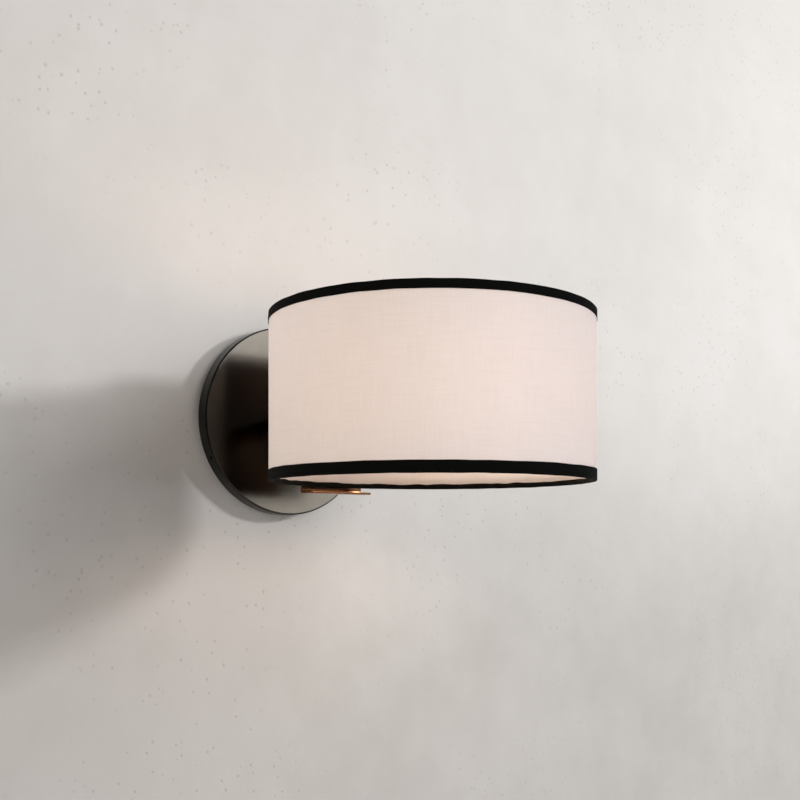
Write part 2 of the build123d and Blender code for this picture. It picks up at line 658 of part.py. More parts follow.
with BuildPart() as bulb_tip:
    with BuildSketch(TURNED):
        with BuildLine():
            dome = CenterArc((0, BULB_TIP_DEPTH + TIP_DOME), TIP_DOME, -90, degrees(asin(4.7 / TIP_DOME)))
            Polyline(dome @ 1, (4.7, BULB_TIP_DEPTH + 1.2), (0, BULB_TIP_DEPTH + 1.2), dome @ 0)
        make_face()
    revolve(axis=Axis.Y)
finish(bulb_tip.part, "bulb_tip")
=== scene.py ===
from math import cos, pi, radians, sin, tau

import bmesh
import bpy
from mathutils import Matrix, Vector, noise


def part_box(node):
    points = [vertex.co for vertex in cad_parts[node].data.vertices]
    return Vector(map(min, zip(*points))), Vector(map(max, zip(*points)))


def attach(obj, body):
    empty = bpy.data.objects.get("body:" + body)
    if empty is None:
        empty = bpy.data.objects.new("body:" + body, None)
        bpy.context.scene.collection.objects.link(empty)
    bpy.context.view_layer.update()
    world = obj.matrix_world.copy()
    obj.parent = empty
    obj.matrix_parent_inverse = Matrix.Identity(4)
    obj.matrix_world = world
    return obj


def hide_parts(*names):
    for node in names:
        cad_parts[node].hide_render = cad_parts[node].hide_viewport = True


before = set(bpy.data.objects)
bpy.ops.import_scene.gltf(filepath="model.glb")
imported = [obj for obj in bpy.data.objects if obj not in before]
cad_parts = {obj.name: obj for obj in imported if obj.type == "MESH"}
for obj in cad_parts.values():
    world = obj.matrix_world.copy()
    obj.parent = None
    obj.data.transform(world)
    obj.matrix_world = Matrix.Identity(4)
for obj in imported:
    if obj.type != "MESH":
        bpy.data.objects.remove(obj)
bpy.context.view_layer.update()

# Fabric shade wall light, dressed. Metres, +Z up. The wall is the plane y = 0 and the light stands
# out from it along -Y, so "depth" is -y. Angles round the drum start at the side that faces the
# room and grow towards +X.

MM = 0.001


def size_of(node):
    low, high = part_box(node)
    return high - low


LINEN_LOW, LINEN_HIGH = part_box("shade_fabric")
SHADE_RADIUS = (LINEN_HIGH.x - LINEN_LOW.x) / 2
SHADE_DEPTH = -(LINEN_LOW.y + LINEN_HIGH.y) / 2
SHEET_HALF = LINEN_HIGH.z
LINEN_THICKNESS = SHADE_RADIUS - size_of("shade_liner").x / 2
LINER_THICKNESS = 0.4 * MM
RIM_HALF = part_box("top_trim")[1].z
CANOPY_RADIUS = size_of("wall_canopy").x / 2
TAPE_THICKNESS = size_of("top_trim").x / 2 - SHADE_RADIUS
TOP_TAPE_HEIGHT = size_of("top_trim").z
BOTTOM_TAPE_HEIGHT = size_of("bottom_trim").z
TAPE_TURN_IN = 3.5 * MM
WIRE_INSIDE = 98.87 * MM
NIPPLE_HOLE = 5.5 * MM
SEAM_ANGLE = radians(229)
LINEN_LAP = 10 * MM
LAP_RAMP = 3 * MM
SHEET_ROWS = 25
SHEET_STEPS = 380
SHEET_RIPPLE = 0.12 * MM
SHEET_JOINT = 0.4 * MM
GLUE_GAP = 0.01 * MM
TAPE_LAP = 12 * MM
TAPE_LAP_START = SEAM_ANGLE - radians(7.5)
TAPE_LAP_RAMP = 2.5 * MM
TAPE_STEPS = 620


# ------------------------------------------------------------------------------ material nodes
class Finish:
    """One material's nodes, with short names for what the finishes have in common."""

    def __init__(self, name):
        self.material = bpy.data.materials.new(name)
        self.material.use_nodes = True
        self.tree = self.material.node_tree
        self.shader = self.tree.nodes["Principled BSDF"]
        self.output = self.tree.nodes["Material Output"]
        self.place = self.add("ShaderNodeTexCoord").outputs["Object"]

    def add(self, kind, **settings):
        node = self.tree.nodes.new(kind)
        for name, value in settings.items():
            setattr(node, name, value)
        return node

    def put(self, socket, value):
        if isinstance(value, bpy.types.NodeSocket):
            self.tree.links.new(value, socket)
        else:
            socket.default_value = value

    def set(self, **values):
        """Set the shader's own sockets: base_color is its Base Color, and so on."""
        for name, value in values.items():
            label = name.replace("_", " ").title().replace("Ior", "IOR")
            self.put(self.shader.inputs[label], value)

    def math(self, operation, first, second=0.0):
        node = self.add("ShaderNodeMath", operation=operation)
        self.put(node.inputs[0], first)
        self.put(node.inputs[1], second)
        return node.outputs[0]

    def parts(self, vector):
        node = self.add("ShaderNodeSeparateXYZ")
        self.put(node.inputs[0], vector)
        return node.outputs

    def join(self, x, y, z):
        node = self.add("ShaderNodeCombineXYZ")
        for socket, value in zip(node.inputs, (x, y, z)):
            self.put(socket, value)
        return node.outputs[0]

    def scaled(self, vector, x, y, z):
        node = self.add("ShaderNodeVectorMath", operation="MULTIPLY")
        self.put(node.inputs[0], vector)
        self.put(node.inputs[1], (x, y, z))
        return node.outputs[0]

    def noise(self, vector, scale, detail=2.0, roughness=0.5):
        node = self.add("ShaderNodeTexNoise")
        settings = {"Vector": vector, "Scale": scale, "Detail": detail, "Roughness": roughness}
        for name, value in settings.items():
            self.put(node.inputs[name], value)
        return node.outputs["Fac"]

    def spread(self, value, low, high, to_low=0.0, to_high=1.0):
        """Map a value from one range to another, held at the ends."""
        node = self.add("ShaderNodeMapRange", interpolation_type="SMOOTHSTEP")
        for socket, given in zip(node.inputs, (value, low, high, to_low, to_high)):
            self.put(socket, given)
        return node.outputs[0]

    def mix(self, factor, first, second):
        node = self.add("ShaderNodeMix", data_type="RGBA")
        self.put(node.inputs[0], factor)
        self.put(node.inputs[6], (*first, 1) if isinstance(first, tuple) else first)
        self.put(node.inputs[7], (*second, 1) if isinstance(second, tuple) else second)
        return node.outputs[2]

    def bump(self, height, distance, strength):
        node = self.add("ShaderNodeBump")
        for name, value in {"Height": height, "Distance": distance, "Strength": strength}.items():
            self.put(node.inputs[name], value)
        return node.outputs[0]

    def round_the_drum(self):
        """Millimetres round the drum and millimetres up it, for weaves."""
        x, y, z = self.parts(self.place)
        outward = self.math("MULTIPLY", self.math("ADD", y, SHADE_DEPTH), -1.0)
        angle = self.math("ARCTAN2", x, outward)
        return self.math("MULTIPLY", angle, SHADE_RADIUS / MM), self.math("MULTIPLY", z, 1 / MM)

    def threads(self, across, pitch):
        """Height of one set of parallel threads, 0 between them and 1 on top of them."""
        turn = self.math("MULTIPLY", across, pi / pitch)
        return self.math("ABSOLUTE", self.math("SINE", turn))


# Spacing of the threads, in millimetres
WARP_PITCH = 0.52
WEFT_PITCH = 0.56
TWILL_PITCH = 0.75
YARN_PITCH = 0.38


def linen_finish():
    """Plain weave whose threads wander and thicken, with a few dark flecks."""
    made = Finish("linen")
    around, level = made.round_the_drum()
    place = made.join(around, level, 0.0)
    warp_wander = made.math("MULTIPLY", made.noise(made.scaled(place, 0.3, 0.015, 1), 1.0), 1.8)
    weft_wander = made.math("MULTIPLY", made.noise(made.scaled(place, 0.015, 0.3, 1), 1.0), 1.8)
    across = made.math("ADD", around, warp_wander)
    along = made.math("ADD", level, weft_wander)
    warp = made.threads(across, WARP_PITCH)
    weft = made.threads(along, WEFT_PITCH)
    over = made.math("MULTIPLY", made.math("SINE", made.math("MULTIPLY", across, pi / WARP_PITCH)),
                     made.math("SINE", made.math("MULTIPLY", along, pi / WEFT_PITCH)))
    weave = made.math("MAXIMUM", made.math("ADD", warp, made.math("MULTIPLY", over, 0.25)),
                      made.math("SUBTRACT", weft, made.math("MULTIPLY", over, 0.25)))
    upright = made.noise(made.scaled(place, 1.1, 0.045, 1), 1.0, 3.0, 0.6)
    level_slub = made.noise(made.scaled(place, 0.04, 1.3, 1), 1.0, 3.0, 0.6)
    streaks = made.math("ADD", made.spread(upright, 0.35, 0.7), made.spread(level_slub, 0.35, 0.7))
    cloud = made.noise(made.scaled(place, 0.03, 0.03, 1), 1.0, 2.0)
    fleck = made.spread(made.noise(made.scaled(place, 0.5, 0.9, 1), 1.0, 1.0), 0.77, 0.82)
    tone = made.math("ADD", made.math("MULTIPLY", streaks, 0.5), made.math("MULTIPLY", cloud, 0.25))
    colour = made.mix(made.spread(tone, 0.2, 0.95), (0.955, 0.915, 0.90), (0.925, 0.88, 0.86))
    colour = made.mix(made.math("MULTIPLY", fleck, 0.35), colour, (0.55, 0.42, 0.34))
    height = made.math("ADD", weave, made.math("MULTIPLY", streaks, 0.7))
    relief = made.bump(height, 0.06 * MM, 0.5)
    made.set(base_color=colour, roughness=0.88, normal=relief, sheen_weight=0.12, sheen_roughness=0.5,
             specular_ior_level=0.2)
    return glowing_through(made, colour, relief, 0.43)


def glowing_through(made, colour, relief, share):
    """Let a share of the light pass through a sheet, scattered."""
    passing = made.add("ShaderNodeBsdfTranslucent")
    made.put(passing.inputs["Color"], colour)
    made.put(passing.inputs["Normal"], relief)
    both = made.add("ShaderNodeMixShader")
    both.inputs[0].default_value = share
    made.put(both.inputs[1], made.shader.outputs[0])
    made.put(both.inputs[2], passing.outputs[0])
    made.put(made.output.inputs["Surface"], both.outputs[0])
    return made.material


def liner_finish():
    """Smooth white sheet with the ghost of the linen in it."""
    made = Finish("liner")
    around, level = made.round_the_drum()
    place = made.join(around, level, 0.0)
    cloud = made.noise(made.scaled(place, 0.05, 0.05, 1), 1.0, 3.0)
    ghost = made.noise(made.scaled(place, 0.9, 0.06, 1), 1.0, 2.0)
    tone = made.math("ADD", made.math("MULTIPLY", cloud, 0.6), made.math("MULTIPLY", ghost, 0.4))
    colour = made.mix(made.spread(tone, 0.3, 0.7), (0.95, 0.925, 0.90), (0.92, 0.89, 0.865))
    relief = made.bump(tone, 0.1 * MM, 0.3)
    made.set(base_color=colour, roughness=0.5, normal=relief, specular_ior_level=0.4)
    return glowing_through(made, colour, relief, 0.6)


def glued_finish():
    """The faces of the linen and its liner that are glued to each other pass light straight on."""
    made = Finish("glued_face")
    clear = made.add("ShaderNodeBsdfTransparent")
    made.put(made.output.inputs["Surface"], clear.outputs[0])
    return made.material


def tape_finish():
    """Black twill, its ribs a little worn."""
    made = Finish("tape")
    around, level = made.round_the_drum()
    place = made.join(around, level, 0.0)
    wander = made.math("MULTIPLY", made.noise(made.scaled(place, 0.15, 0.15, 1), 1.0), 0.8)
    slope = made.math("ADD", made.math("ADD", around, level), wander)
    rib = made.threads(slope, TWILL_PITCH)
    yarn = made.threads(made.math("SUBTRACT", around, level), YARN_PITCH)
    dust = made.noise(made.scaled(place, 2.2, 2.2, 1), 1.0, 3.0, 0.7)
    worn = made.math("ADD", made.math("MULTIPLY", rib, 0.5), made.math("MULTIPLY", dust, 0.6))
    colour = made.mix(made.spread(worn, 0.3, 1.0), (0.0012, 0.0014, 0.0008), (0.0045, 0.0048, 0.0035))
    height = made.math("ADD", rib, made.math("MULTIPLY", yarn, 0.35))
    relief = made.bump(height, 0.1 * MM, 0.6)
    made.set(base_color=colour, roughness=0.9, normal=relief, sheen_weight=0.015, sheen_roughness=0.4,
             specular_ior_level=0.07)
    return made.material


STREAKS_PER_METRE = 1500


def metal_finish(name, low, high, roughness, streak=(1, 1, 1), scratch=0.0, spots=0.25, painted_shade_rim=0.0):
    """Plated or drawn metal: uneven tone and polish, with streaks drawn out along an axis.

    A painted-shade rim is the radius about the Y axis beyond which a turned edge is painted near black,
    as painted shade for the dark wall it reflects where it meets the wall."""
    made = Finish(name)
    grain = [STREAKS_PER_METRE * part for part in streak]
    lines = made.noise(made.scaled(made.place, *grain), 1.0, 3.0, 0.6)
    cloud = made.noise(made.place, 90.0, 3.0, 0.55)
    tone = made.math("ADD", made.math("MULTIPLY", lines, 1 - spots), made.math("MULTIPLY", cloud, spots))
    colour = made.mix(made.spread(tone, 0.3, 0.7), low, high)
    if painted_shade_rim:
        # Painted shade: the outermost edge is darkened towards near black, standing in for the shadowed
        # wall it reflects.
        x, _, z = made.parts(made.place)
        squares = made.math("ADD", made.math("MULTIPLY", x, x), made.math("MULTIPLY", z, z))
        edge = made.spread(made.math("SQRT", squares), painted_shade_rim - 0.5 * MM, painted_shade_rim)
        colour = made.mix(made.math("MULTIPLY", edge, 0.75), colour, (0.008, 0.009, 0.004))
    gloss = made.spread(tone, 0.25, 0.75, roughness * 1.15, roughness * 0.85)
    made.set(base_color=colour, roughness=gloss, metallic=1.0)
    if scratch:
        made.set(normal=made.bump(lines, scratch, 0.4))
    return made.material


def moulded_finish(name, low, high, roughness, grain=900.0, depth=0.02 * MM, **extra):
    """Plastic or glass: faint clouding in the colour and a fine moulded skin."""
    made = Finish(name)
    cloud = made.noise(made.place, 60.0, 3.0)
    skin = made.noise(made.place, grain, 2.0)
    colour = made.mix(made.spread(cloud, 0.3, 0.7), low, high)
    gloss = made.spread(skin, 0.3, 0.7, roughness * 0.85, roughness * 1.15)
    made.set(base_color=colour, roughness=gloss, normal=made.bump(skin, depth, 0.3), **extra)
    return made.material


GLASS_GLOW = 1.2
NECK_GLOW_DEPTH = 0.128
BALL_GLOW_DEPTH = 0.185


def lit_glass_finish():
    """Frosted glass with the lamp on: brightest round the filament, dimmer down the neck."""
    made = Finish("bulb_glass")
    depth = made.math("MULTIPLY", made.parts(made.place)["Y"], -1.0)
    heat = made.spread(depth, NECK_GLOW_DEPTH, BALL_GLOW_DEPTH)
    grain = made.noise(made.place, 700.0, 2.0)
    colour = made.mix(heat, (1.0, 0.52, 0.22), (1.0, 0.78, 0.55))
    glow = made.math("MULTIPLY", made.math("ADD", made.math("MULTIPLY", heat, 0.8), 0.2), GLASS_GLOW)
    made.set(base_color=made.mix(grain, (0.9, 0.88, 0.84), (0.82, 0.8, 0.76)), roughness=0.35,
             normal=made.bump(grain, 0.02 * MM, 0.3), emission_color=colour, emission_strength=glow)
    return made.material


FINISHES = {
    # The canopy's outer edge carries painted shade for the dark wall beside it.
    "canopy_metal": metal_finish("canopy_metal", (0.060, 0.0545, 0.046), (0.074, 0.067, 0.0575), 0.18,
                                 (1.3, 1.3, 1.3), painted_shade_rim=CANOPY_RADIUS - 0.2 * MM),
    "copper": metal_finish("copper", (0.24, 0.105, 0.045), (0.33, 0.16, 0.08), 0.2,
                           (0.06, 1.5, 1.5), scratch=0.01 * MM),
    "zinc_steel": metal_finish("zinc_steel", (0.56, 0.57, 0.55), (0.70, 0.70, 0.66), 0.34,
                               (0.5, 0.5, 0.5), scratch=0.01 * MM, spots=0.6),
    "ring_wire": metal_finish("ring_wire", (0.48, 0.48, 0.47), (0.6, 0.6, 0.58), 0.4),
    "brass": metal_finish("brass", (0.72, 0.52, 0.22), (0.82, 0.64, 0.32), 0.25),
    "nickel": metal_finish("nickel", (0.66, 0.65, 0.61), (0.8, 0.79, 0.75), 0.22,
                           (0.3, 0.3, 0.3), scratch=0.006 * MM),
    "tungsten": metal_finish("tungsten", (0.2, 0.2, 0.21), (0.3, 0.3, 0.3), 0.4),
    "green_screw": metal_finish("green_screw", (0.03, 0.22, 0.09), (0.06, 0.33, 0.14), 0.33),
    "insulator": moulded_finish("insulator", (0.018, 0.016, 0.015), (0.032, 0.028, 0.026), 0.34),
    "black_wire": moulded_finish("black_wire", (0.012, 0.012, 0.012), (0.022, 0.022, 0.022), 0.38),
    "white_wire": moulded_finish("white_wire", (0.72, 0.72, 0.7), (0.8, 0.8, 0.77), 0.38),
    "green_wire": moulded_finish("green_wire", (0.02, 0.19, 0.06), (0.035, 0.26, 0.09), 0.38),
    "connector": moulded_finish("connector", (0.72, 0.26, 0.035), (0.8, 0.32, 0.05), 0.45),
    "stem_glass": moulded_finish("stem_glass", (0.85, 0.88, 0.88), (0.92, 0.94, 0.94), 0.08,
                                 transmission_weight=0.9),
    "base_glass": moulded_finish("base_glass", (0.008, 0.008, 0.012), (0.02, 0.02, 0.026), 0.12),
    "bulb_glass": lit_glass_finish(),
    "linen": linen_finish(),
    "liner": liner_finish(),
    "tape": tape_finish(),
}
GLUED = glued_finish()


# ------------------------------------------------------------------------------ mesh helpers
def grid_faces(rows, columns, wrap_rows=False, wrap_columns=False):
    """Quads over a grid of points kept row by row."""
    faces = []
    for row in range(rows if wrap_rows else rows - 1):
        under = (row + 1) % rows
        for column in range(columns if wrap_columns else columns - 1):
            beside = (column + 1) % columns
            faces.append((row * columns + column, row * columns + beside,
                          under * columns + beside, under * columns + column))
    return faces


def new_piece(name, points, faces, slot, stands_for, body="light", crease=35):
    """Make a mesh piece, close its normals, give it its finish and put it on its body."""
    mesh = bpy.data.meshes.new(name)
    mesh.from_pydata([tuple(point) for point in points], [], faces)
    made = bpy.data.objects.new(name, mesh)
    bpy.context.scene.collection.objects.link(made)
    return settle(made, slot, stands_for, body, crease)


def settle(made, slot, stands_for, body, crease):
    shell = bmesh.new()
    shell.from_mesh(made.data)
    bmesh.ops.recalc_face_normals(shell, faces=shell.faces)
    shell.to_mesh(made.data)
    shell.free()
    made.data.polygons.foreach_set("use_smooth", [True] * len(made.data.polygons))
    made.data.set_sharp_from_angle(angle=radians(crease))
    made.data.materials.clear()
    made.data.materials.append(FINISHES[slot])
    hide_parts(*stands_for)
    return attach(made, body)


def modified(made, kind, **settings):
    """Apply one modifier to a piece's mesh for good."""
    changer = made.modifiers.new(kind.lower(), kind)
    for name, value in settings.items():
        setattr(changer, name, value)
    bpy.context.view_layer.update()
    result = bpy.data.meshes.new_from_object(made.evaluated_get(bpy.context.evaluated_depsgraph_get()))
    made.modifiers.clear()
    old = made.data
    made.data = result
    bpy.data.meshes.remove(old)
    return made


def smooth_step(value):
    value = min(1.0, max(0.0, value))
    return value * value * (3 - 2 * value)


def wander(seed, x, y, z=0.0):
    """Smooth noise from -1 to 1, the same on every run."""
    return noise.noise(Vector((x + 17.3 * seed, y - 5.1 * seed, z + 9.7 * seed))) * 1.8


def drum_point(angle, radius, level):
    return (radius * sin(angle), -SHADE_DEPTH - radius * cos(angle), level)


def turned_point(angle, radius, depth):
    return (radius * cos(angle), -depth, radius * sin(angle))


# ------------------------------------------------------------------------------ shade sheets
def band(section, start, end, steps):
    """A strip that runs round the drum, its closed cross-section given for each angle."""
    points = []
    for step in range(steps + 1):
        angle = start + (end - start) * step / steps
        points += [drum_point(angle, radius, level) for radius, level in section(angle)]
    width = len(points) // (steps + 1)
    faces = grid_faces(steps + 1, width, wrap_columns=True)
    faces.append(tuple(range(width)))
    faces.append(tuple(steps * width + column for column in range(width)))
    return points, faces


def past_lap(angle, start, ramp):
    """How far a strip has climbed on to its own beginning, from 0 to 1."""
    climb = (angle - start - tau) * SHADE_RADIUS
    return smooth_step((climb + ramp) / ramp)


def linen_lift(angle):
    """How far the linen has climbed on to its own beginning at the end of its run."""
    return LINEN_THICKNESS * past_lap(angle, SEAM_ANGLE, LAP_RAMP)


def seam_lift(angle):
    """How far the tape is lifted where it crosses the lap in the linen."""
    along = ((angle - SEAM_ANGLE) * SHADE_RADIUS + LAP_RAMP) % (tau * SHADE_RADIUS)
    rise = smooth_step(along / LAP_RAMP)
    fall = smooth_step((LINEN_LAP + 2 * LAP_RAMP - along) / LAP_RAMP)
    return LINEN_THICKNESS * rise * fall


def sheet_section(outside, inside, lift):
    """Cross-section of a sheet: up its outer face and down its inner one."""
    def section(angle):
        shift = lift(angle)
        levels = [SHEET_HALF * (2 * row / (SHEET_ROWS - 1) - 1) for row in range(SHEET_ROWS)]
        outer = []
        inner = []
        for level in levels:
            calm = 1 - abs(level / SHEET_HALF) ** 6
            bulge = wander(1, 3.2 * sin(angle), 3.2 * cos(angle), 16 * level) - 0.5
            wave = SHEET_RIPPLE * calm * bulge
            outer.append((outside + shift + wave, level))
            inner.append((inside + shift + wave, level))
        return outer + inner[::-1]
    return section


def pierce(made):
    """Cut the hole for the nipple through the drum's rear wall."""
    rear_wall = (0, SHADE_RADIUS - SHADE_DEPTH, 0)
    bpy.ops.mesh.primitive_cylinder_add(vertices=48, radius=NIPPLE_HOLE, depth=20 * MM,
                                        location=rear_wall, rotation=(pi / 2, 0, 0))
    drill = bpy.context.object
    modified(made, "BOOLEAN", object=drill, operation="DIFFERENCE", solver="EXACT")
    bpy.data.objects.remove(drill)


def hide_glued_side(made, radius, side):
    """Give the faces on one side of a radius the clear finish of the glued faces."""
    made.data.materials.append(GLUED)
    for face in made.data.polygons:
        x, y, _ = face.center
        distance = (x * x + (y + SHADE_DEPTH) ** 2) ** 0.5
        outward = (face.normal.x * x + face.normal.y * (y + SHADE_DEPTH)) / distance
        if outward * side > 0.9 and (distance - radius) * side > 0:
            face.material_index = 1


def make_linen():
    """The linen, whose end laps over its beginning and isn't glued to the liner there."""
    section = sheet_section(SHADE_RADIUS, SHADE_RADIUS - LINEN_THICKNESS, linen_lift)
    end = SEAM_ANGLE + tau + LINEN_LAP / SHADE_RADIUS
    points, faces = band(section, SEAM_ANGLE, end, SHEET_STEPS)
    linen = new_piece("linen_drum", points, faces, "linen", ["shade_fabric"])
    pierce(linen)
    under_lap = SHADE_RADIUS - LINEN_THICKNESS / 2 + 0.2 * MM
    hide_glued_side(linen, under_lap, -1)


def make_lining():
    """The liner, whose ends butt with a fine gap."""
    outside = SHADE_RADIUS - LINEN_THICKNESS - GLUE_GAP
    section = sheet_section(outside, outside - LINER_THICKNESS + 2 * GLUE_GAP, lambda angle: 0.0)
    joint = SHEET_JOINT / 2 / SHADE_RADIUS
    points, faces = band(section, SEAM_ANGLE + joint, SEAM_ANGLE + tau - joint, SHEET_STEPS)
    lining = new_piece("shade_lining", points, faces, "liner", ["shade_liner"])
    pierce(lining)
    hide_glued_side(lining, outside - LINER_THICKNESS / 2, 1)


# ------------------------------------------------------------------------------ folded tape
CLIPPED_EDGE = 0.14 * MM
INNER_EDGE = 0.35 * MM
TAPE_PUFF = 0.10 * MM


def rounded(points, rounds):
    """Cut the corners of an open line, keeping its two ends."""
    for _ in range(rounds):
        cut = [points[0]]
        for first, second in zip(points, points[1:]):
            cut.append(first.lerp(second, 0.25))
            cut.append(first.lerp(second, 0.75))
        cut.append(points[-1])
        points = cut
    return points


def offset_line(points, distance):
    """The same line moved sideways, to the left of its own direction."""
    moved = []
    for place, point in enumerate(points):
        before = points[max(0, place - 1)]
        after = points[min(len(points) - 1, place + 1)]
        along = (after - before).normalized()
        moved.append(point + Vector((-along.y, along.x)) * distance)
    return moved


def tape_section(side, height, seed):
    """Cross-section of the tape at an angle: down the outside, over the wire, back on the liner."""
    def section(angle):
        half = TAPE_THICKNESS / 2
        east, north = sin(angle), cos(angle)
        edge = CLIPPED_EDGE * wander(seed, 7 * east, 7 * north)
        turn = INNER_EDGE * wander(seed + 1, 11 * east, 11 * north)
        puff = TAPE_PUFF * (wander(seed + 2, 9 * east, 9 * north) - 0.6)
        outside = SHADE_RADIUS + half + 2 * GLUE_GAP + seam_lift(angle)
        rim = RIM_HALF - half
        on_liner = SHADE_RADIUS - LINEN_THICKNESS - LINER_THICKNESS - half - 6 * GLUE_GAP
        middle = [
            (outside, RIM_HALF - height + edge),
            (outside, RIM_HALF - 0.6 * height),
            (outside + puff * 0.5, rim - 0.9 * MM),
            (outside + puff * 0.5, rim + puff),
            (WIRE_INSIDE - half - 0.1 * MM, rim + puff),
            (WIRE_INSIDE - half - puff, RIM_HALF - 2.1 * MM),
            (on_liner, RIM_HALF - 2.9 * MM),
            (on_liner, RIM_HALF - TAPE_TURN_IN + turn),
        ]
        line = rounded([Vector(point) for point in middle], 2)
        climb = TAPE_THICKNESS * past_lap(angle, TAPE_LAP_START, TAPE_LAP_RAMP)
        outer = offset_line(line, -climb - half)
        inner = offset_line(line, -climb + half)
        ring = outer + inner[::-1]
        return [(point.x, side * point.y) for point in ring]
    return section


def make_tape(name, node, side, height, seed):
    """Tape on the upper (side 1) or the lower (side -1) rim, its end lapped over its beginning."""
    end = TAPE_LAP_START + tau + TAPE_LAP / SHADE_RADIUS
    points, faces = band(tape_section(side, height, seed), TAPE_LAP_START, end, TAPE_STEPS)
    return new_piece(name, points, faces, "tape", [node], crease=50)


# ------------------------------------------------------------------------------ turned pieces
def turned(profile, segments):
    """Skin made by turning a closed cross-section, as (radius, depth) points, about the Y axis."""
    points = []
    for segment in range(segments):
        angle = tau * segment / segments
        points += [turned_point(angle, radius, depth) for radius, depth in profile]
    return points, grid_faces(segments, len(profile), wrap_rows=True, wrap_columns=True)


BALL_RADIUS = size_of("bulb_glass").x / 2
BULB_END = -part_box("bulb_glass")[0].y
CAP_FRONT = -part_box("bulb_base")[0].y
CAP_BACK = -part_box("bulb_base")[1].y
NECK_RADIUS = 12.5 * MM
GLASS_THICKNESS = 0.8 * MM
GLASS_IN_CAP = 4 * MM
SHOULDER_ANGLE = radians(122)
BALL_STEPS = 26
NECK_STEPS = 16
ON_AXIS = 0.004
THREAD_PITCH = 25.4 / 7 * MM
CAP_THREAD_RADIUS = 12.5 * MM
CAP_THREAD_DEPTH = 0.45 * MM
CAP_BACK_RADIUS = 12.05 * MM
CAP_THICKNESS = 0.35 * MM
SHELL_THREAD_DEPTH = 0.4 * MM
SHELL_THICKNESS = 0.3 * MM
THREAD_FROM_BACK = 3.5 * MM
THREAD_FROM_FRONT = 5.5 * MM
THREAD_FADE = 1.5 * MM
THREAD_STEPS = 110
TURNED_SEGMENTS = 96


def globe_line(radius, neck):
    """Half outline of the bulb's glass, from its end to inside its cap."""
    ball_depth = BULB_END - BALL_RADIUS
    line = []
    for step in range(BALL_STEPS + 1):
        angle = max(SHOULDER_ANGLE * step / BALL_STEPS, ON_AXIS)
        line.append(Vector((radius * sin(angle), ball_depth + radius * cos(angle))))
    start = line[-1]
    finish = Vector((neck, CAP_FRONT))
    reach = (finish - start).length
    leaving = Vector((cos(SHOULDER_ANGLE), -sin(SHOULDER_ANGLE))) * reach
    arriving = Vector((0, -1)) * reach
    for step in range(1, NECK_STEPS + 1):
        t = step / NECK_STEPS
        line.append(start * (2 * t**3 - 3 * t**2 + 1) + leaving * (t**3 - 2 * t**2 + t)
                    + finish * (3 * t**2 - 2 * t**3) + arriving * (t**3 - t**2))
    line.append(Vector((neck, CAP_FRONT - GLASS_IN_CAP)))
    return line


def make_globe():
    """The bulb's hollow glass, which lets the lamp inside it shine out."""
    outer = globe_line(BALL_RADIUS, NECK_RADIUS)
    inner = globe_line(BALL_RADIUS - GLASS_THICKNESS, NECK_RADIUS - GLASS_THICKNESS)
    points, faces = turned([tuple(point) for point in outer + inner[::-1]], TURNED_SEGMENTS)
    globe = new_piece("bulb_globe", points, faces, "bulb_glass", ["bulb_glass"], "bulb", crease=60)
    globe.visible_shadow = False
    return globe


def thread_radius(angle, depth, middle, height):
    """Radius of a right-handed screw thread that comes out of the holder towards the room."""
    return middle + height * cos(tau * depth / THREAD_PITCH - angle)


def thread_share(depth, back, front):
    """1 where a sleeve is threaded, falling to 0 at the plain stretch by each end."""
    after = smooth_step((depth - back - THREAD_FROM_BACK) / THREAD_FADE + 1)
    before = smooth_step((front - THREAD_FROM_FRONT - depth) / THREAD_FADE + 1)
    return after * before


def threaded_sleeve(line, thickness):
    """Thin sleeve about the Y axis: line gives its outer (radius, depth) points at an angle."""
    points = []
    for segment in range(TURNED_SEGMENTS):
        angle = tau * segment / TURNED_SEGMENTS
        outer = line(angle)
        inner = [(radius - thickness, depth) for radius, depth in outer]
        points += [turned_point(angle, radius, depth) for radius, depth in outer + inner[::-1]]
    width = len(points) // TURNED_SEGMENTS
    return points, grid_faces(TURNED_SEGMENTS, width, wrap_rows=True, wrap_columns=True)


def make_cap():
    """The bulb's cap: thread rolled in its middle and a flare where it grips the glass."""
    skirt = size_of("bulb_base").x / 2 - 0.45 * MM
    corner = 1.6 * MM
    flare_length = 2.4 * MM

    def line(angle):
        out = [(10.4 * MM, CAP_BACK + 0.2 * MM), (11.3 * MM, CAP_BACK + 0.6 * MM)]
        for step in range(THREAD_STEPS + 1):
            depth = CAP_BACK + corner + (CAP_FRONT - CAP_BACK - corner) * step / THREAD_STEPS
            cut = thread_share(depth, CAP_BACK, CAP_FRONT)
            plain = CAP_BACK_RADIUS if depth < (CAP_BACK + CAP_FRONT) / 2 else skirt
            flare = 0.4 * MM * smooth_step((depth - CAP_FRONT + flare_length) / flare_length)
            threaded = thread_radius(angle, depth, CAP_THREAD_RADIUS, CAP_THREAD_DEPTH)
            out.append((plain * (1 - cut) + threaded * cut + flare, depth))
        return out

    points, faces = threaded_sleeve(line, CAP_THICKNESS)
    return new_piece("bulb_cap", points, faces, "nickel", ["bulb_base"], "bulb", crease=60)


